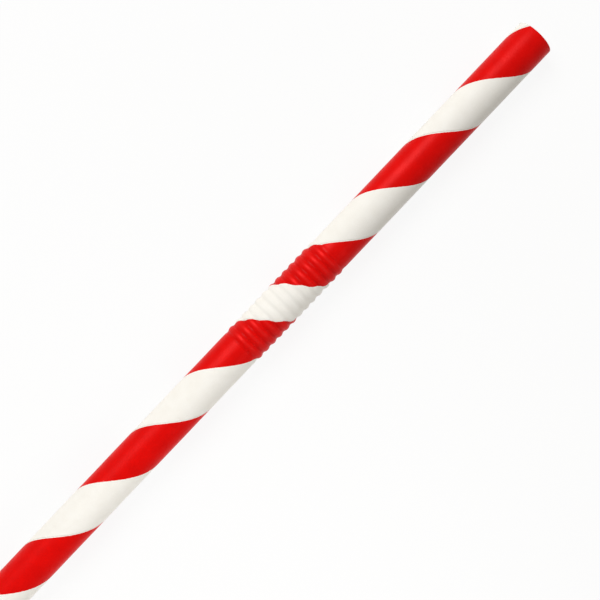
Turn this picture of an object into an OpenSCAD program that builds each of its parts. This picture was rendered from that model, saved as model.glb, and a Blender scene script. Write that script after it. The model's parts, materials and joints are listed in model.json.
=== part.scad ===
// Paper drinking straw with a flexible neck of ripples.
// One tube of wound paper, lying on its side along X, with its mouth end at +X.
// The origin is on the surface it lies on, under the middle of its length.

/* [Tube] */
// Length of the straw from end to end
straw_length = 197; // [120:1:260]
// Outside diameter of the tube
outer_d = 6; // [5:0.1:12]
// Thickness of the paper wall
wall = 0.4; // [0.3:0.05:0.6]
// Rounding of the edges where the ends are cut
cut_round = 0.12; // [0.02:0.01:0.15]

/* [Ripples] */
// Plain length between the mouth end and the ripples
mouth_length = 43; // [15:0.5:80]
// Number of grooves pressed into the wall
ripple_count = 14; // [3:1:24]
// Distance from one groove to the next
ripple_pitch = 1.4; // [1.3:0.05:2.5]
// Height of each crest over the floor of the grooves beside it
ripple_depth = 0.2; // [0.16:0.01:0.7]
// How far the crests stand out from the plain tube
crest_rise = 0.14; // [0.05:0.01:0.15]

/* [Hidden] */

// Straight steps in each arc of the wall's section
arc_steps = 3;
// Height under which a swing of the wall is straight
least_swing = 0.001;

outer_r = outer_d / 2;
bore_r = outer_r - wall;
ripples_length = ripple_count * ripple_pitch;
foot_length = straw_length - mouth_length - ripples_length;
half_pitch = ripple_pitch / 2;

// Radius of the middle of the wall in the plain tube, on a crest and in a groove
tube_level = outer_r - wall / 2;
crest_level = tube_level + crest_rise;
groove_level = crest_level - ripple_depth;

// The wall swings from level to level in steps of half a pitch, starting and ending at the plain tube.
levels = [
    tube_level,
    for (i = [1:ripple_count - 1]) each [groove_level, crest_level],
    groove_level,
    tube_level
];

// Points of the section are [distance from the straw's axis, distance from the foot end].
function arc_points(centre, r, start, end) =
    [for (k = [0:arc_steps])
        let (a = start + (end - start) * k / arc_steps)
        centre + r * [cos(a), sin(a)]];

// One swing of the wall, straight between equal levels and otherwise two equal arcs that meet
// tangentially, on the face that lies face_offset outside the middle of the wall.
function swing_points(from, to, place, face_offset) =
    abs(to - from) < least_swing
        ? [[from + face_offset, place], [to + face_offset, place + half_pitch]]
        : arc_swing_points(from, to, place, face_offset);

function arc_swing_points(from, to, place, face_offset) =
    let (
        turn = 2 * atan(abs(to - from) / half_pitch),
        r = half_pitch / (2 * sin(turn)),
        over = r + face_offset,
        under = r - face_offset
    )
    from > to
        ? concat(
            arc_points([from - r, place], over, 0, turn),
            arc_points([to + r, place + half_pitch], under, 180 + turn, 180))
        : concat(
            arc_points([from + r, place], under, 180, 180 - turn),
            arc_points([to - r, place + half_pitch], over, -turn, 0));

function ripples_face(face_offset) =
    [for (i = [0:len(levels) - 2])
        each swing_points(levels[i], levels[i + 1], foot_length + i * half_pitch, face_offset)];

function reverse(points) = [for (i = [len(points) - 1:-1:0]) points[i]];

// The section of the wall, from the foot end up its outer face and back down its bore
function wall_section() =
    let (
        outer_cut = outer_r - cut_round,
        bore_cut = bore_r + cut_round,
        mouth_cut = straw_length - cut_round
    )
    concat(
        arc_points([outer_cut, cut_round], cut_round, -90, 0),
        ripples_face(wall / 2),
        arc_points([outer_cut, mouth_cut], cut_round, 0, 90),
        arc_points([bore_cut, mouth_cut], cut_round, 90, 180),
        reverse(ripples_face(-wall / 2)),
        arc_points([bore_cut, cut_round], cut_round, 180, 270)
    );

// The tube, lying on its whole length. The crests give way where they lie on the surface,
// and these flats keep the straw from rolling.
module straw() {
    color("white")
        difference() {
            translate([-straw_length / 2, 0, outer_r])
                rotate([90, 0, 90])
                    rotate_extrude($fn = 96)
                        polygon(wall_section());
            translate([foot_length + half_pitch - straw_length / 2, -outer_r, -outer_r])
                cube([ripples_length - ripple_pitch, outer_d, outer_r]);
        }
}

straw();
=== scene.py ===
# %% [markdown]
# A striped paper straw. A paper drinking straw is one tube of paper strips, wound round a rod, glued and
# cut to length. This one is printed with a red stripe, and a band of ripples pressed in below the mouth
# lets it bend. The frame already holds the straw at its real size and in its real place, so the lesson
# starts by loading it, and each piece made later is put exactly where the frame says.

# %% Load the frame
import json
import math

import bpy
import numpy as np
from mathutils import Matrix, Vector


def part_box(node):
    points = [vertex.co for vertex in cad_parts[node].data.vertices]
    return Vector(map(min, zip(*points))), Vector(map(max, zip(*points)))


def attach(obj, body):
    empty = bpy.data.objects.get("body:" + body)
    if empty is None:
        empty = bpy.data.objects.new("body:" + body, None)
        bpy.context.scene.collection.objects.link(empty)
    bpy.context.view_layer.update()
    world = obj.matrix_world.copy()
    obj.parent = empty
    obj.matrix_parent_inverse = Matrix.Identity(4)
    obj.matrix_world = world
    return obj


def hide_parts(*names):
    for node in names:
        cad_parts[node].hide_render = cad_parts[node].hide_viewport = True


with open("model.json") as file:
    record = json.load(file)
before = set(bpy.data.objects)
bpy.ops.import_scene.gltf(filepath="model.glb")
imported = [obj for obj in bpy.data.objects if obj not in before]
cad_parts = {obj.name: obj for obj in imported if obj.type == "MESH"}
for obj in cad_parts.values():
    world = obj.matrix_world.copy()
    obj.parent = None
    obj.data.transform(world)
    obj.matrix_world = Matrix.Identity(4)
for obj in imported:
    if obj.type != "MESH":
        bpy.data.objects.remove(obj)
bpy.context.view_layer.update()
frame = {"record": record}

# %% [markdown]
# The straw has few sizes of its own. They could be typed in, but the frame knows most of them: its box
# gives the length and the crests of the ripples, and its mounts give the plain tube's radius, its bore
# and how far each plain arm runs. Only what no mount names is written here: the number of ripples, their
# depth, and the small rounding of the cut ends. Blender counts in metres, so MM turns millimetres into
# them.

# %% Sizes of the straw
MM = 0.001
mounts = {mount["name"]: mount for mount in frame["record"]["mounts"]}


def mount_size(name, size):
    """One measured size of a mount, in metres."""
    return mounts[name]["dims"][size] * MM


low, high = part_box("straw")
cut_round = 0.12 * MM
ripple_count = 14
ripple_depth = 0.2 * MM

tube_r = mount_size("mouth_outside", "r_mm")
wall = tube_r - mount_size("mouth_bore", "r_mm")
mouth_length = mount_size("mouth_outside", "length_mm") + cut_round
foot_length = mount_size("foot_outside", "length_mm") + cut_round
axis_z = mounts["mouth_bore"]["pos_m"][2]
crest_rise = high.z - axis_z - tube_r
neck_length = high.x - low.x - mouth_length - foot_length
print(f"tube {2 * tube_r / MM:.2f} mm wide, wall {wall / MM:.2f} mm, neck {neck_length / MM:.2f} mm long")

# %% [markdown]
# Both the shape and the finish of the straw are sums: angles, distances and shares of a turn. Nodes can do
# sums, but a page of Math nodes is hard to read. This small class wraps one socket of a node tree, so that
# Python's own signs add the Math nodes. Written with it, 1 - mask is one Subtract node, and the same
# class serves shaders and Geometry Nodes alike. Every other node is added by its one method, node.

# %% Node sums as Python expressions
MATH_SOCKETS = ("Value", "Value_001")


class Wire:
    """One socket of a node tree, with signs that add Math nodes to that tree."""

    def __init__(self, tree, socket):
        self.tree = tree
        self.socket = socket

    @staticmethod
    def node(tree, kind, settings=None, sockets=None):
        """Adds a node, makes its settings, then fills or links its sockets; returns its outputs."""
        made = tree.nodes.new(kind)
        for name, value in (settings or {}).items():
            setattr(made, name, value)
        inlets = {inlet.identifier: inlet for inlet in made.inputs}
        for name, value in (sockets or {}).items():
            if isinstance(value, Wire):
                tree.links.new(value.socket, inlets[name])
            else:
                inlets[name].default_value = value
        return {outlet.identifier: Wire(tree, outlet) for outlet in made.outputs}

    @staticmethod
    def maths(operation, *values):
        """One Math node on wires and numbers."""
        tree = next(value.tree for value in values if isinstance(value, Wire))
        sockets = dict(zip(MATH_SOCKETS, values))
        return Wire.node(tree, "ShaderNodeMath", {"operation": operation}, sockets)["Value"]

    def __add__(self, other):
        return Wire.maths("ADD", self, other)

    def __radd__(self, other):
        return Wire.maths("ADD", other, self)

    def __sub__(self, other):
        return Wire.maths("SUBTRACT", self, other)

    def __rsub__(self, other):
        return Wire.maths("SUBTRACT", other, self)

    def __mul__(self, other):
        return Wire.maths("MULTIPLY", self, other)

    def __rmul__(self, other):
        return Wire.maths("MULTIPLY", other, self)

    def __truediv__(self, other):
        return Wire.maths("DIVIDE", self, other)

    def __rtruediv__(self, other):
        return Wire.maths("DIVIDE", other, self)

    def __mod__(self, other):
        return Wire.maths("FLOORED_MODULO", self, other)

    def __rmod__(self, other):
        return Wire.maths("FLOORED_MODULO", other, self)

    def __lt__(self, other):
        return Wire.maths("LESS_THAN", self, other)

    def __gt__(self, other):
        return Wire.maths("GREATER_THAN", self, other)


print("signs that add Math nodes: + - * / % < >")

# %% [markdown]
# Other sums have a name instead of a sign. Two of them come back in almost every step: between holds a
# value inside two limits, and choose picks one of two values by a test that is 1 or 0. A Switch node could
# choose too, but only in Geometry Nodes, and this sum serves the shaders as well.

# %% Sums with names


def sine(angle):
    return Wire.maths("SINE", angle)


def cosine(angle):
    return Wire.maths("COSINE", angle)


def smaller(a, b):
    return Wire.maths("MINIMUM", a, b)


def larger(a, b):
    return Wire.maths("MAXIMUM", a, b)


def between(value, lowest, highest):
    """The value, held between two limits."""
    return larger(smaller(value, highest), lowest)


def choose(test, if_true, if_false):
    """The first value where the test is 1, the second where it is 0."""
    return if_false + test * (if_true - if_false)


print("sums with names: sine, cosine, smaller, larger, between, choose")

# %% [markdown]
# Before any surface comes the paper itself. The stripe was printed on flat paper and wound straight, so in
# the ripples, where the paper runs up and down, the stripe looks squeezed along the straw. Two numbers on
# the surface carry this: turns, how many turns the strip has wound up to a point, measured along the
# paper, and ripple, how high the point is on a ripple, from -1 in a groove to 1 on a crest. The shape will
# store both, and the finishes read them. First comes the rule of one ripple: the wall swings from crest to
# groove in two equal arcs.

# %% The rule of one ripple
half_pitch = neck_length / ripple_count / 2
swing_turn = 2 * math.atan(ripple_depth / half_pitch)
swing_r = half_pitch / (2 * math.sin(swing_turn))
swing_run = 2 * swing_r * swing_turn
print(f"each swing of {half_pitch / MM:.2f} mm takes {swing_run / MM:.3f} mm of paper")

# %% [markdown]
# The print is one red stripe and one white stripe to a turn. On the real straw the strip of paper is a
# little over 14 mm wide and climbs one lead, about 22 mm, in each turn. The stripe could be cut into the
# mesh, but a sum in the shader keeps its edge sharp at any distance: the angle round the axis, taken away
# from the turns wound so far, says where on the strip a point lies. The neck was pressed shorter than the
# paper that went into it, so more of a turn fits there, and each stretch of the straw has its own lead.
# The press gathers the paper most in the middle of the neck, which draws the stripe's edges towards it.

# %% Sizes of the winding
neck_run = 2 * ripple_count * swing_run
turns_in_neck = 1.273
turns_gathered = 0.026
lead = {"foot": 22.4 * MM, "neck": neck_run / turns_in_neck, "mouth": 21.6 * MM}
red_share = 0.505
red_at_mouth = 9.0 * MM

turns_wound = foot_length / lead["foot"] + turns_in_neck + mouth_length / lead["mouth"]
first_red = red_at_mouth / lead["mouth"] - turns_wound
print(f"the strip winds {turns_wound:.2f} turns on the whole straw")

# %% [markdown]
# Colours are written as they are picked from a screen, from 0 to 255, because that is how an eye or a
# paint chart gives them. Shaders count light itself, so each colour goes through the screen's own curve
# once, here, and everything after this line is linear.

# %% Colours


def paint(red, green, blue):
    """A screen colour as the linear colour that a shader wants."""
    shares = [channel / 255 for channel in (red, green, blue)]
    light = [s / 12.92 if s <= 0.04045 else ((s + 0.055) / 1.055) ** 2.4 for s in shares]
    return (*light, 1.0)


white_paper = paint(248, 246, 240)
grey_paper = paint(240, 236, 227)
red_ink = paint(227, 6, 2)
# The deep red is the ink's darker mottle, and also the painted shade in the grooves.
deep_red_ink_and_shade = paint(206, 3, 1)
bare_paper = paint(236, 228, 212)
glue_line = paint(196, 180, 152)
print("colours:", [round(c, 3) for c in white_paper[:3]], [round(c, 3) for c in red_ink[:3]])

# %% [markdown]
# Each finish starts with an empty material, a point's place on the straw and its place on the wound strip.
# The place on the straw comes from Object coordinates, which stay with the piece. The place on the strip
# could come from a map, but a map has edges, and the strip winds on without any. So it is worked out from
# the turns that the mesh stores and the angle round the axis.

# %% Helpers for places


def new_finish(name):
    """A material with an empty node tree."""
    material = bpy.data.materials.new(name)
    material.use_nodes = True
    material.node_tree.nodes.clear()
    return material, material.node_tree


def place_on(tree):
    """The point's place as a vector, with its distance to the sides of the axis and above it."""
    vector = Wire.node(tree, "ShaderNodeTexCoord")["Object"]
    parts = Wire.node(tree, "ShaderNodeSeparateXYZ", sockets={"Vector": vector})
    return vector, parts["Y"], parts["Z"] - axis_z


def wound_place(tree, side, above):
    """How many turns the strip has wound up to a point, less the point's own turn round the axis."""
    turns = Wire.node(tree, "ShaderNodeAttribute", {"attribute_name": "turns"})["Fac"]
    angle = Wire.maths("ARCTAN2", 0 - side, above)
    return turns - angle / (2 * math.pi)


def hairline(place, middle, half):
    """A thin line on the strip: 1 on its middle, fading to 0 at half its width."""
    return between(1 - Wire.maths("ABSOLUTE", place - middle) / half, 0, 1)


print("helpers for places: new_finish, place_on, wound_place, hairline")

# %% [markdown]
# No paper is quite even, so noise at two sizes breaks up each finish: clouds a millimetre or two across,
# and fibres of about a fifth of a millimetre. Noise in Blender seldom strays far from its middle, 0.5, so
# it is centred on 0 and stretched. A finish then names its patterns and says how much it takes of each,
# which reads more easily than a long sum.

# %% Helpers for tones
noise_middle = 0.5
noise_stretch = 4


def centred(noise):
    """Noise as a number from -1 to 1."""
    return between((noise - noise_middle) * noise_stretch, -1, 1)


def grain(tree, vector, size, detail=2.0):
    """Noise from -1 to 1 whose blotches are about this size across."""
    sockets = {"Vector": vector, "Scale": 1 / size, "Detail": detail}
    noise = Wire.node(tree, "ShaderNodeTexNoise", {"noise_dimensions": "3D"}, sockets)
    return centred(noise["Fac"])


def weigh(patterns, middle, **amounts):
    """A middle value, moved by an amount of each pattern that is named."""
    total = middle
    for name, amount in amounts.items():
        total = total + patterns[name] * amount
    return total


def share_of(patterns, middle, **amounts):
    """The same sum as a share, held between 0 and 1."""
    return between(weigh(patterns, middle, **amounts), 0, 1)


def blend(tree, share, first, second):
    """A mix of two colours."""
    sockets = {"Factor_Float": share, "A_Color": first, "B_Color": second}
    return Wire.node(tree, "ShaderNodeMix", {"data_type": "RGBA"}, sockets)["Result_Color"]


def finish_off(tree, height, relief, sockets):
    """Ends a finish: a bump of this relief in metres, the main shader and the output."""
    bump = Wire.node(tree, "ShaderNodeBump", sockets={"Height": height, "Distance": relief})
    sockets = {**sockets, "Normal": bump["Normal"]}
    shader = Wire.node(tree, "ShaderNodeBsdfPrincipled", sockets=sockets)
    Wire.node(tree, "ShaderNodeOutputMaterial", sockets={"Surface": shader["BSDF"]})


print("helpers for tones: centred, grain, weigh, share_of, blend, finish_off")

# %% [markdown]
# The printed outside starts with its stripe. A turn of the strip counts from 0 to 1, and red covers about
# the first half of it. A picture of the stripe could be wrapped round the tube, but a mask made by a sum
# has an edge of known width: ink creeps along the fibres, so the edge is a little soft and ragged. The
# strip's own edge shows as a hairline seam beside the red. All widths here are shares of a turn.

# %% Where the stripe and the seam lie
edge_soft = 0.0025
edge_ragged = 0.0016
seam_half = 0.0022
red_to_seam = 0.012

printed, tree = new_finish("printed_paper")
vector, side, above = place_on(tree)
ragged = grain(tree, vector, size=0.25 * MM) * edge_ragged
strip_place = (wound_place(tree, side, above) + first_red + ragged) % 1.0
from_edge = smaller(strip_place, red_share - strip_place)
red_mask = between(from_edge / edge_soft + 0.5, 0, 1)
seam = hairline(strip_place, red_share + red_to_seam, seam_half)
print(f"red stripe: {red_share * lead['foot'] / MM:.1f} mm along the foot arm in every turn")

# %% [markdown]
# Then come its tones. Real straw paper is smooth, a little warm, and cloudy when it is held close. The ink
# lies on it as a thin satin film that mottles slightly and wears first on the crests, and in the grooves
# the red is painted deeper, as painted shade. Each tone is a mix of two colours, because a mix never
# leaves the range between the two, and the patterns say how much of the second one shows.

# %% Tones of the paper and the ink
most_wear = 0.01
seam_tint = 0.45
ripple = Wire.node(tree, "ShaderNodeAttribute", {"attribute_name": "ripple"})["Fac"]
patterns = {
    "ripple": ripple,
    # 1 at the bottom of a groove: the mask of the painted shade there.
    "groove": 0 - smaller(ripple, 0),
    "cloud": grain(tree, vector, size=1.6 * MM, detail=3.0),
    "fibre": grain(tree, vector, size=0.18 * MM),
    "seam": seam,
}
grey_share = share_of(patterns, middle=0.32, cloud=0.22, fibre=0.12)
# Besides the mottle, this share paints shade into the grooves by deepening the red there.
mottle_and_groove_shade_share = share_of(patterns, middle=0.35, groove=0.6, cloud=0.30, fibre=0.15)
worn = share_of(patterns, middle=-0.9, ripple=1.6, fibre=0.25) * most_wear

white_tone = blend(tree, grey_share, white_paper, grey_paper)
red_tone = blend(tree, mottle_and_groove_shade_share, red_ink, deep_red_ink_and_shade)
inked = blend(tree, red_mask * (1 - worn), white_tone, red_tone)
coloured = blend(tree, seam * seam_tint, inked, glue_line)
print("patterns of the print:", ", ".join(patterns))

# %% [markdown]
# Last comes its shine. A highlight on this ink stays red where a plain gloss would turn it pink, so the
# ink gets a small share of Metallic, which tints a reflection with the surface's own colour. The press
# rubbed the crests smooth, so the share is larger there. The ink is a little smoother than the paper, and
# the grain and the seam can be felt in both, as a relief of a few hundredths of a millimetre at most.

# %% Shine and relief of the print
ink_roughness = 0.37
paper_roughness = 0.45
print_relief = 0.012 * MM
roughness = choose(red_mask, ink_roughness, paper_roughness)
height = weigh(patterns, middle=0.0, fibre=0.35, cloud=0.4, seam=-3.0)
finish_off(tree, height, print_relief, {
    "Base Color": coloured,
    "Metallic": red_mask * share_of(patterns, middle=0.05, ripple=0.08),
    "Roughness": weigh(patterns, middle=roughness, cloud=0.03, fibre=0.03),
    "Specular IOR Level": 0.075,
})
print("printed paper:", len(tree.nodes), "nodes")

# %% [markdown]
# The bore is the inside of the inner strip, bare paper that was never coated: rougher, creamier, and with
# a hairline seam of its own winding along it. The printed paper could serve here too, with a mask for the
# side of the wall, but a second material is easier to read and to change.

# %% The bare paper of the bore
bore_relief = 0.015 * MM
bore_seam_place = 0.5
bore_seam_tint = 0.5
bare, tree = new_finish("bare_paper")
vector, side, above = place_on(tree)
seam = hairline(wound_place(tree, side, above) % 1.0, bore_seam_place, 2 * seam_half)
patterns = {
    "cloud": grain(tree, vector, size=1.2 * MM, detail=3.0),
    "fibre": grain(tree, vector, size=0.2 * MM),
    "seam": seam,
}
grey_share = share_of(patterns, middle=0.35, cloud=0.25, fibre=0.2)
tone = blend(tree, grey_share, bare_paper, grey_paper)
finish_off(tree, weigh(patterns, middle=0.0, fibre=1.0, seam=-2.0), bore_relief, {
    "Base Color": blend(tree, seam * bore_seam_tint, tone, glue_line),
    "Roughness": weigh(patterns, middle=0.8, fibre=0.08),
    "Specular IOR Level": 0.2,
})
print("bare paper:", len(tree.nodes), "nodes")

# %% [markdown]
# The cut ends show the plies: three strips of paper with a thin line of glue between them, seen as rings
# round the bore. They could be three tubes, one inside the other, but the real wall is one piece once it
# is glued, and the rings are only seen. So they are drawn by a point's distance from the axis.

# %% The plies at the cut ends
ply_count = 3
ply_waver = 0.1
glue_half = 0.16
glue_tint = 0.6
cut_relief = 0.02 * MM
plies, tree = new_finish("cut_plies")
vector, side, above = place_on(tree)
fibre = grain(tree, vector, size=0.12 * MM)
from_bore = Wire.maths("SQRT", side * side + above * above) - (tube_r - wall)
ply_place = (from_bore / (wall / ply_count) + fibre * ply_waver) % 1.0
glue = between(1 - smaller(ply_place, 1 - ply_place) / glue_half, 0, 1)
patterns = {"fibre": fibre, "glue": glue}
tone = blend(tree, share_of(patterns, middle=0.4, fibre=0.3), white_paper, grey_paper)
finish_off(tree, weigh(patterns, middle=0.0, fibre=1.0, glue=-1.0), cut_relief, {
    "Base Color": blend(tree, glue * glue_tint, tone, glue_line),
    "Roughness": weigh(patterns, middle=0.85, fibre=0.06),
    "Specular IOR Level": 0.2,
})
print("cut plies:", len(tree.nodes), "nodes")

# %% [markdown]
# Now the shape. The tube could be turned with the Screw modifier, but then its rule would be lost in a
# list of points. Here it is a Geometry Nodes tree: a flat grid of points is bent into the tube, row by row
# along the section of the wall and column by column round the axis. The tree has a named input for each
# size, so the ripples can be made deeper or more of them pressed in without touching the nodes.

# %% The tree and its inputs
tree = bpy.data.node_groups.new("rippled_paper_tube", "GeometryNodeTree")
tube_socket = tree.interface.new_socket("Geometry", in_out="OUTPUT", socket_type="NodeSocketGeometry")
tube_out = tube_socket.identifier
tree_values = {
    "Start": low.x,
    "Axis height": axis_z,
    "Tube radius": tube_r,
    "Wall": wall,
    "Cut round": cut_round,
    "Foot length": foot_length,
    "Mouth length": mouth_length,
    "Ripple count": float(ripple_count),
    "Half pitch": half_pitch,
    "Ripple depth": ripple_depth,
    "Crest rise": crest_rise,
    "Swing turn": swing_turn,
    "Swing radius": swing_r,
    "Foot lead": lead["foot"],
    "Neck lead": lead["neck"],
    "Neck gather": turns_gathered,
    "Mouth lead": lead["mouth"],
    "Seed": 7.0,
    "Printed paper": printed,
    "Bare paper": bare,
    "Cut plies": plies,
}
tree_sockets = {}
for name, value in tree_values.items():
    kind = "NodeSocketMaterial" if isinstance(value, bpy.types.Material) else "NodeSocketFloat"
    tree_sockets[name] = tree.interface.new_socket(name, in_out="INPUT", socket_type=kind).identifier
group_input = Wire.node(tree, "NodeGroupInput")
size = {name: group_input[identifier] for name, identifier in tree_sockets.items()}
print("inputs:", ", ".join(size))

# %% [markdown]
# The rows of the grid go once round the section of the wall: up the printed outside from the foot to the
# mouth, over the cut, back down the bore, and over the cut at the foot. Each stretch has as many rows as
# its curves need. A row's share of a stretch runs from 0 to 1 while the row is in it, and stays at 0
# before it and at 1 after it, so a sum of shares is all that is needed to walk the whole section.

# %% Rows and columns
columns = 96
corner_rows = 4
ripple_rows = {"outside": 10, "inside": 6}
stretch_rows = {
    "foot corner": corner_rows,
    "foot outside": 64,
    "neck outside": size["Ripple count"] * (2 * ripple_rows["outside"]),
    "mouth outside": 22,
    "mouth corner": corner_rows,
    "mouth cut": 1,
    "mouth bore corner": corner_rows,
    "mouth bore": 10,
    "neck bore": size["Ripple count"] * (2 * ripple_rows["inside"]),
    "foot bore": 32,
    "foot bore corner": corner_rows,
    "foot cut": 1,
}


def on_points(value):
    """The value worked out on the points, for use on faces and their corners too."""
    settings = {"domain": "POINT", "data_type": "FLOAT"}
    return Wire.node(tree, "GeometryNodeFieldOnDomain", settings, {"Value": value})["Value"]


index = Wire.node(tree, "GeometryNodeInputIndex")["Index"]
row = on_points(Wire.maths("FLOOR", (index + 0.5) / (columns + 1)))
column_share = on_points((index % (columns + 1)) / columns)

row_end = {}
share = {}
rows = 0
for name, count in stretch_rows.items():
    share[name] = between((row - rows) / count, 0, 1)
    rows = rows + count
    row_end[name] = rows
print("stretches of the section:", ", ".join(stretch_rows))

# %% [markdown]
# From the row's shares come two numbers: run, the distance along the paper from the foot, and offset, the
# distance out from the middle of the wall. The corners of the cuts are quarter rounds, so there a sine and
# a cosine share the step between the two.

# %% Walk round the section
quarter = math.pi / 2
cut = size["Cut round"]
half_wall = size["Wall"] / 2
half_cut = half_wall - cut
swing_paper = size["Swing radius"] * size["Swing turn"] * 2
neck_paper = size["Ripple count"] * 2 * swing_paper

run = cut * (1 - cosine(share["foot corner"] * quarter))
run += (size["Foot length"] - cut) * (share["foot outside"] - share["foot bore"])
run += neck_paper * (share["neck outside"] - share["neck bore"])
run += (size["Mouth length"] - cut) * (share["mouth outside"] - share["mouth bore"])
run += cut * sine(share["mouth corner"] * quarter)
run -= cut * (1 - cosine(share["mouth bore corner"] * quarter))
run -= cut * sine(share["foot bore corner"] * quarter)

offset = half_cut * (1 - 2 * share["mouth cut"] + 2 * share["foot cut"])
offset += cut * sine(share["foot corner"] * quarter)
offset -= cut * (1 - cosine(share["mouth corner"] * quarter))
offset -= cut * sine(share["mouth bore corner"] * quarter)
offset += cut * (1 - cosine(share["foot bore corner"] * quarter))
print("run and offset:", len(tree.nodes), "nodes so far")

# %% [markdown]
# In the neck the run is bent into ripples by the rule of two arcs. A Ping-Pong node turns the growing run
# into a swing to and fro between crest and groove, and the remainder of the run tells how far along its
# own swing a point is. A little slack keeps rounding from putting the start of a swing into the one before.
# The lean of the wall at a point carries the offset, so both faces of the wall stay a wall's thickness
# apart, as paper does. The first and last swings start from the plain tube, which lies a little lower than
# the crests.

# %% Bend the run into ripples
swing_slack = 0.0001
neck_place = between(run - size["Foot length"], 0, neck_paper)
swing_number = Wire.maths("FLOOR", neck_place / swing_paper + swing_slack)
along_swing = neck_place - swing_number * swing_paper
to_and_fro = Wire.maths("PINGPONG", neck_place, swing_paper)

to_swing_end = smaller(along_swing, swing_paper - along_swing)
lean = between(to_swing_end / size["Swing radius"], 0, size["Swing turn"])
arc_along = size["Swing radius"] * sine(lean)
arc_drop = size["Swing radius"] * (1 - cosine(lean))
along = choose(along_swing < swing_paper / 2, arc_along, size["Half pitch"] - arc_along)
drop = choose(to_and_fro < swing_paper / 2, arc_drop, size["Ripple depth"] - arc_drop)

falling = 1 - 2 * (swing_number % 2)
in_first = neck_place < swing_paper
in_last = neck_place > neck_paper - swing_paper
ripple_height = 1 - drop / size["Ripple depth"]
end_drop = larger(in_first, in_last) * ripple_height * size["Crest rise"]
print("a swing leans up to", round(math.degrees(swing_turn), 1), "degrees")

# %% [markdown]
# Paper is never pressed quite evenly. Slow noise round each ring makes some grooves shallower than others
# and lets the rings waver along the straw, and broader, weaker noise dents the whole tube by a hundredth
# of a millimetre or two, enough to make a long highlight swim. The seed fixes the noise, so that each run
# of the lesson makes the same straw.

# %% Unevenness of pressed paper
groove_spread = 0.14
waver = 0.045 * MM
dent = 0.014 * MM
turned = (column_share - 0.5) * (2 * math.pi)
straight_x = size["Start"] + run - neck_place + swing_number * size["Half pitch"] + along


def unevenness(blotch, seed_step):
    """Noise from -1 to 1 over the tube's surface."""
    ring = {"Y": size["Tube radius"] * sine(turned), "Z": size["Tube radius"] * cosine(turned)}
    vector = Wire.node(tree, "ShaderNodeCombineXYZ", sockets={"X": straight_x, **ring})["Vector"]
    sockets = {"Vector": vector, "W": size["Seed"] + seed_step, "Scale": 1 / blotch, "Detail": 1.0}
    noise = Wire.node(tree, "ShaderNodeTexNoise", {"noise_dimensions": "4D"}, sockets)
    return centred(noise["Fac"])


in_neck = between(smaller(neck_place, neck_paper - neck_place) / (2 * swing_paper), 0, 1)
uneven_drop = drop * (1 + groove_spread * unevenness(blotch=2.0 * MM, seed_step=0.0))
uneven_along = in_neck * waver * unevenness(blotch=3.0 * MM, seed_step=10.0)
uneven_radius = dent * unevenness(blotch=7.0 * MM, seed_step=20.0)
print("grooves vary by", groove_spread, "of their depth")

# %% [markdown]
# The last sum turns every point round the axis. The seam of the grid is put underneath, where it is seen
# least. The crests stand out further than the plain tube, but the soft neck gives way until the whole
# straw lies on the floor. Holding every point above the floor does the same: it presses the undersides of
# the crests flat, which also keeps the straw from rolling.

# %% Turn the section round the axis
floor_z = 0.0
crest_middle = size["Tube radius"] + size["Crest rise"] - half_wall
radius = crest_middle - uneven_drop - end_drop + uneven_radius + offset * cosine(lean)
sockets = {
    "X": straight_x + uneven_along + offset * falling * sine(lean),
    "Y": 0 - radius * sine(turned),
    "Z": larger(size["Axis height"] + radius * cosine(turned), floor_z),
}
point = Wire.node(tree, "ShaderNodeCombineXYZ", sockets=sockets)["Vector"]

sockets = {"Vertices X": rows + 1, "Vertices Y": columns + 1}
grid = Wire.node(tree, "GeometryNodeMeshGrid", sockets=sockets)["Mesh"]
sockets = {"Geometry": grid, "Position": point}
shape = Wire.node(tree, "GeometryNodeSetPosition", sockets=sockets)["Geometry"]
print("columns round the tube:", columns)

# %% [markdown]
# Closing the tube will number its points anew, so what later steps need is stored on the mesh first. The
# print reads the turns wound and the height on a ripple. The map of the unrolled paper needs the run, and
# the turn of each face's corner round the axis. Each face also keeps the number of its paper: 0 for the
# printed outside, 1 for the bore and 2 for the cut ends.

# %% Store what later steps need
foot_turns = smaller(run, size["Foot length"]) / size["Foot lead"]
gathered = size["Neck gather"] * sine(neck_place / neck_paper * (2 * math.pi))
neck_turns = neck_place / size["Neck lead"] - gathered
mouth_turns = larger(run - size["Foot length"] - neck_paper, 0) / size["Mouth lead"]
in_bore = (row > row_end["mouth cut"]) * (row < row_end["foot bore corner"])
on_mouth_cut = (row > row_end["mouth corner"]) * (row < row_end["mouth cut"])
on_foot_cut = row > row_end["foot bore corner"]
stored = {
    "turns": ("POINT", foot_turns + neck_turns + mouth_turns),
    "ripple": ("POINT", (2 * ripple_height - 1) * in_neck),
    "run": ("POINT", run),
    "corner_turn": ("CORNER", column_share),
    "paper": ("FACE", in_bore + 2 * larger(on_mouth_cut, on_foot_cut)),
}
for name, (domain, value) in stored.items():
    settings = {"domain": domain, "data_type": "FLOAT"}
    sockets = {"Geometry": shape, "Name": name, "Value": value}
    shape = Wire.node(tree, "GeometryNodeStoreNamedAttribute", settings, sockets)["Geometry"]
print("stored on the mesh:", ", ".join(stored))

# %% [markdown]
# The first and last rows and columns now lie in the same place, and merging them closes the tube. Its
# faces are turned outwards and shaded smooth. The tree ends as any tree for an export should, by making
# copies real, though this one places none, and by setting the materials: each paper in turn is put on the
# faces with its number or a higher one, so the last one put on a face is its own.

# %% Close the tube and put on its papers
merge_distance = 0.001 * MM
sockets = {"Geometry": shape, "Distance": merge_distance}
shape = Wire.node(tree, "GeometryNodeMergeByDistance", sockets=sockets)["Geometry"]
shape = Wire.node(tree, "GeometryNodeFlipFaces", sockets={"Mesh": shape})["Mesh"]
shape = Wire.node(tree, "GeometryNodeSetShadeSmooth", sockets={"Geometry": shape})["Geometry"]
shape = Wire.node(tree, "GeometryNodeRealizeInstances", sockets={"Geometry": shape})["Geometry"]

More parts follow.
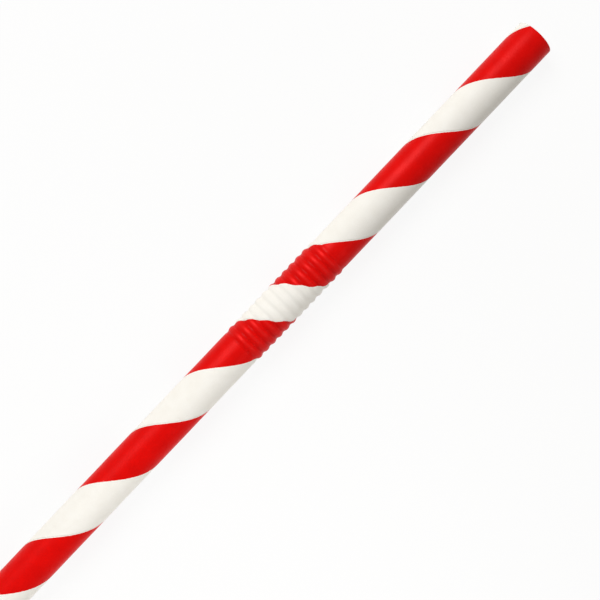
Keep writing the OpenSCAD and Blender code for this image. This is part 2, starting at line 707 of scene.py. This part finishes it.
settings = {"data_type": "FLOAT"}
paper = Wire.node(tree, "GeometryNodeInputNamedAttribute", settings, {"Name": "paper"})["Attribute"]
for number, name in enumerate(("Printed paper", "Bare paper", "Cut plies")):
    sockets = {"Geometry": shape, "Selection": paper > number - 0.5, "Material": size[name]}
    shape = Wire.node(tree, "GeometryNodeSetMaterial", sockets=sockets)["Geometry"]
Wire.node(tree, "NodeGroupOutput", sockets={tube_out: shape})
print("tree:", len(tree.nodes), "nodes")

# %% [markdown]
# A tree only shows its work while its modifier is on an object. The modifier is given its sizes through
# the identifiers of its sockets, evaluated once, and the result is copied into a plain mesh. The new piece
# stands for the frame's straw and rides on the same body.

# %% Make the straw
maker = bpy.data.objects.new("straw_maker", bpy.data.meshes.new("straw_maker"))
bpy.context.scene.collection.objects.link(maker)
modifier = maker.modifiers.new("rippled_paper_tube", "NODES")
modifier.node_group = tree
for name, value in tree_values.items():
    modifier[tree_sockets[name]] = value

graph = bpy.context.evaluated_depsgraph_get()
made = maker.evaluated_get(graph)
mesh = bpy.data.meshes.new_from_object(made, preserve_all_data_layers=True, depsgraph=graph)
mesh.name = "striped_straw"
mesh.materials.pop(index=0)        # the bare grid's own slot, which no face uses
bpy.data.objects.remove(maker)
straw = bpy.data.objects.new("striped_straw", mesh)
bpy.context.scene.collection.objects.link(straw)

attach(straw, "root")
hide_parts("straw")
print("papers of the straw:", ", ".join(material.name for material in mesh.materials))

# %% [markdown]
# Is the tube closed, and do its faces look outwards? Each triangle spans a slim pyramid from the origin,
# a sixth of the product of its three corners, and on a closed mesh these add up to the volume. The paper
# of a straw this size fills about 1400 cubic millimetres, so a torn seam or a wall turned inside out
# would show at once.

# %% Measure the paper
mesh.calc_loop_triangles()
corners = np.empty(len(mesh.loop_triangles) * 3, np.int32)
mesh.loop_triangles.foreach_get("vertices", corners)
points = np.empty(len(mesh.vertices) * 3, np.float64)
mesh.vertices.foreach_get("co", points)
points = points.reshape(-1, 3)
triangles = points[corners.reshape(-1, 3)]
volume = np.sum(triangles[:, 0] * np.cross(triangles[:, 1], triangles[:, 2])) / 6
print(f"straw: {len(triangles)} triangles, volume {volume / MM**3:.1f} cubic mm")

# %% [markdown]
# The straw also gets a map of its paper laid flat, so that its print can be drawn on a sheet. Blender can
# unwrap a mesh by itself, but this paper already has its two directions, the run and the turn, and they
# unroll it without stretching. First the corners of all faces are read from the mesh.

# %% Read the corners


def stored_value(name, count):
    """A stored value of the mesh as one row of numbers."""
    values = np.empty(count, np.float32)
    mesh.attributes[name].data.foreach_get("value", values)
    return values


corner_points = np.empty(len(mesh.loops), np.int32)
mesh.loops.foreach_get("vertex_index", corner_points)
corner_points = corner_points.reshape(-1, 4)
corner_turns = stored_value("corner_turn", len(mesh.loops)).reshape(-1, 4)
corner_runs = stored_value("run", len(mesh.vertices))[corner_points]
corner_places = points[corner_points]
face_papers = stored_value("paper", len(mesh.polygons)).astype(np.int32)[:, None]
print("faces of each paper:", np.bincount(face_papers.ravel()).tolist())

# %% [markdown]
# Unrolled, the outside is more than ten times as long as it is wide, which would fill a square sheet
# badly. So it is cut into four lengths that lie side by side. The bore is seen less and lies above them,
# smaller, and the two cut ends lie beside it as rings.

# %% Lay the paper on a sheet
lengths = 4
gap = 0.02
sheet_per_metre = (1 - 2 * gap) / lengths / (2 * math.pi * tube_r)
bore_low = 0.73
bore_high = 0.97
bore_width = 0.5
ring_middles = {"foot": (0.63, 0.86), "mouth": (0.87, 0.86)}
ring_half = 0.1

length_run = (foot_length + neck_run + mouth_length) / lengths
length_number = np.clip(corner_runs.mean(axis=1) // length_run, 0, lengths - 1)[:, None]
along_length = corner_runs - length_number * length_run
outside_u = (length_number + gap + (1 - 2 * gap) * corner_turns) / lengths
outside_v = gap + along_length * sheet_per_metre
bore_u = (length_number + 2 * gap + (1 - 4 * gap) * corner_turns) / lengths * bore_width
bore_v = bore_low + (bore_high - bore_low) * along_length / length_run
on_mouth = corner_places[:, :1, 0] > 0
ring_u = np.where(on_mouth, ring_middles["mouth"][0], ring_middles["foot"][0])
ring_v = np.where(on_mouth, ring_middles["mouth"][1], ring_middles["foot"][1])
ring_u = ring_u + corner_places[:, :, 1] / tube_r * ring_half
ring_v = ring_v + (corner_places[:, :, 2] - axis_z) / tube_r * ring_half

sheet_u = np.choose(face_papers, (outside_u, bore_u, ring_u))
sheet_v = np.choose(face_papers, (outside_v, bore_v, ring_v))
sheet = mesh.uv_layers.new(name="OFBake")
sheet.data.foreach_set("uv", np.stack((sheet_u, sheet_v), axis=2).ravel().astype(np.float32))
reach = (sheet_u.min(), sheet_v.min(), sheet_u.max(), sheet_v.max())
print("sheet's reach:", [round(float(c), 3) for c in reach])

# %% [markdown]
# The straw lies on a plain white floor. To show as white as paper on a light table without flooding the
# straw with light, the floor adds a glow of its own, but only to rays that come straight from the camera
# or from a reflection. The light that it throws back on the straw stays that of a plain white floor, and
# the straw's shadow still falls on it.

# %% The floor's finish
floor_glow = 0.9
floor_paint = paint(242, 241, 238)
plain_white = paint(255, 255, 255)


def seen_directly(tree):
    """1 for rays from the camera or from a reflection, 0 for the light that falls on the straw."""
    ray = Wire.node(tree, "ShaderNodeLightPath")
    return larger(larger(ray["Is Camera Ray"], ray["Is Glossy Ray"]), ray["Is Transmission Ray"])


floor_finish, tree = new_finish("white_floor")
diffuse = Wire.node(tree, "ShaderNodeBsdfDiffuse", sockets={"Color": floor_paint})["BSDF"]
sockets = {"Color": plain_white, "Strength": 1.0}
glow = Wire.node(tree, "ShaderNodeEmission", sockets=sockets)["Emission"]
sockets = {"Fac": seen_directly(tree) * floor_glow, "Shader": diffuse, "Shader_001": glow}
mixed = Wire.node(tree, "ShaderNodeMixShader", sockets=sockets)["Shader"]
Wire.node(tree, "ShaderNodeOutputMaterial", sockets={"Surface": mixed})
print("white floor:", len(tree.nodes), "nodes")

# %% [markdown]
# The floor itself is one flat square under the straw. A curved backdrop would hide where it ends, but only
# from one side. This floor is so large that its edge is far away, and the sky will be seen as bright there.

# %% The floor
floor_half = 3.0
floor_mesh = bpy.data.meshes.new("floor")
signs = ((-1, -1), (1, -1), (1, 1), (-1, 1))
floor_corners = [(x * floor_half, y * floor_half, floor_z) for x, y in signs]
floor_mesh.from_pydata(floor_corners, [], [(0, 1, 2, 3)])
floor_mesh.materials.append(floor_finish)
floor = bpy.data.objects.new("floor", floor_mesh)
bpy.context.scene.collection.objects.link(floor)
print("floor:", 2 * floor_half, "m square")

# %% [markdown]
# The light is plain and soft: one broad lamp high on the side that faces the upper left of the picture,
# and a small one low on the other side near the foot. The broad lamp gives the satin streak along the
# straw and the shade on its far side. The small lamp has a narrow beam that lightens this shade towards
# the foot, and it is kept out of reflections, where a second streak would show. A lamp's power is worked
# out from how bright a white card should look at the straw, so it holds if a lamp moves. A narrow beam
# gathers the light, and the power is divided by that gain.

# %% The lamps
FULL_BEAM = 180


def soft_lamp(name, place, aim, width, card_light, beam=FULL_BEAM):
    """A square lamp that makes a white card facing it at the aim this bright, in a beam this wide."""
    data = bpy.data.lights.new(name, "AREA")
    data.size = width
    data.spread = math.radians(beam)
    half_beam = data.spread / 2
    beam_gain = math.tan(half_beam) / (math.tan(half_beam) - half_beam) if beam < FULL_BEAM else 1
    distance = math.dist(place, aim)
    data.energy = card_light * (math.pi * distance) ** 2 / beam_gain
    lamp = bpy.data.objects.new(name, data)
    lamp.location = place
    towards = [a - p for a, p in zip(aim, place)]
    lamp.rotation_euler = Vector(towards).to_track_quat("-Z", "Y").to_euler()
    bpy.context.scene.collection.objects.link(lamp)
    print(f"{name}: {data.energy:.3f} W from {distance:.2f} m")
    return lamp


neck_x = high.x - mouth_length - neck_length / 2
key_place = (neck_x + 0.06, 0.32, 0.44)
key_aim = (neck_x + 0.02, 0.0, axis_z)
foot_place = (0.05, -0.10, 0.08)
foot_aim = (-0.02, 0.0, axis_z)
soft_lamp("key_lamp", key_place, key_aim, width=0.30, card_light=0.70)
foot_lamp = soft_lamp("foot_lamp", foot_place, foot_aim, width=0.06, card_light=0.46, beam=70)
foot_lamp.visible_glossy = False

# %% [markdown]
# An even sky fills in what the lamps leave dark. It lights the straw weakly, with the warm tint of a lit
# room, but rays from the camera or from a reflection see it as bright as the far floor, so that no horizon
# shows.

# %% The sky
sky_light = 0.37
sky_tint = (1.0, 0.97, 0.93, 1.0)
sky_seen = floor_glow + (1 - floor_glow) * floor_paint[1] * sky_light
sky = bpy.data.worlds.new("even_sky")
sky.use_nodes = True
tree = sky.node_tree
tree.nodes.clear()
seen = seen_directly(tree)
sockets = {
    "Color": blend(tree, seen, sky_tint, plain_white),
    "Strength": choose(seen, sky_seen, sky_light),
}
background = Wire.node(tree, "ShaderNodeBackground", sockets=sockets)["Background"]
Wire.node(tree, "ShaderNodeOutputWorld", sockets={"Surface": background})
bpy.context.scene.world = sky
bpy.context.scene.view_settings.view_transform = "Standard"
print(f"sky: lights at {sky_light:.2f}, is seen at {sky_seen:.2f}")

# %% [markdown]
# The camera hangs straight above the straw and is turned so that the straw climbs to the upper right, as
# it does in the photograph. Three measures of the photograph fix it: how wide the tube is, how steeply it
# climbs, and where its mouth ends. The camera is close, because the stripes bow slightly as they do when a
# lens is near.

# %% The camera
picture_px = 600
tube_px = 41.2
climb = math.radians(46.5)
mouth_px = (539.1, 32.6)
camera_distance = 175 * MM
nearest_seen = 10 * MM

px_per_metre = tube_px / (2 * tube_r)
near_metre_per_px = (camera_distance - tube_r) / camera_distance / px_per_metre
rightwards = (math.cos(climb), -math.sin(climb))
upwards = (math.sin(climb), math.cos(climb))
px_right = mouth_px[0] - picture_px / 2
px_up = picture_px / 2 - mouth_px[1]
camera_x = high.x - (px_right * rightwards[0] + px_up * upwards[0]) * near_metre_per_px
camera_y = -(px_right * rightwards[1] + px_up * upwards[1]) * near_metre_per_px

camera_data = bpy.data.cameras.new("camera")
camera_data.clip_start = nearest_seen
camera_data.lens = camera_data.sensor_width * camera_distance * px_per_metre / picture_px
camera = bpy.data.objects.new("camera", camera_data)
camera.location = (camera_x, camera_y, axis_z + camera_distance)
camera.rotation_euler = (0.0, 0.0, -climb)
bpy.context.scene.collection.objects.link(camera)
bpy.context.scene.camera = camera
print(f"camera at {[round(c, 4) for c in camera.location]}, lens {camera_data.lens:.1f} mm")
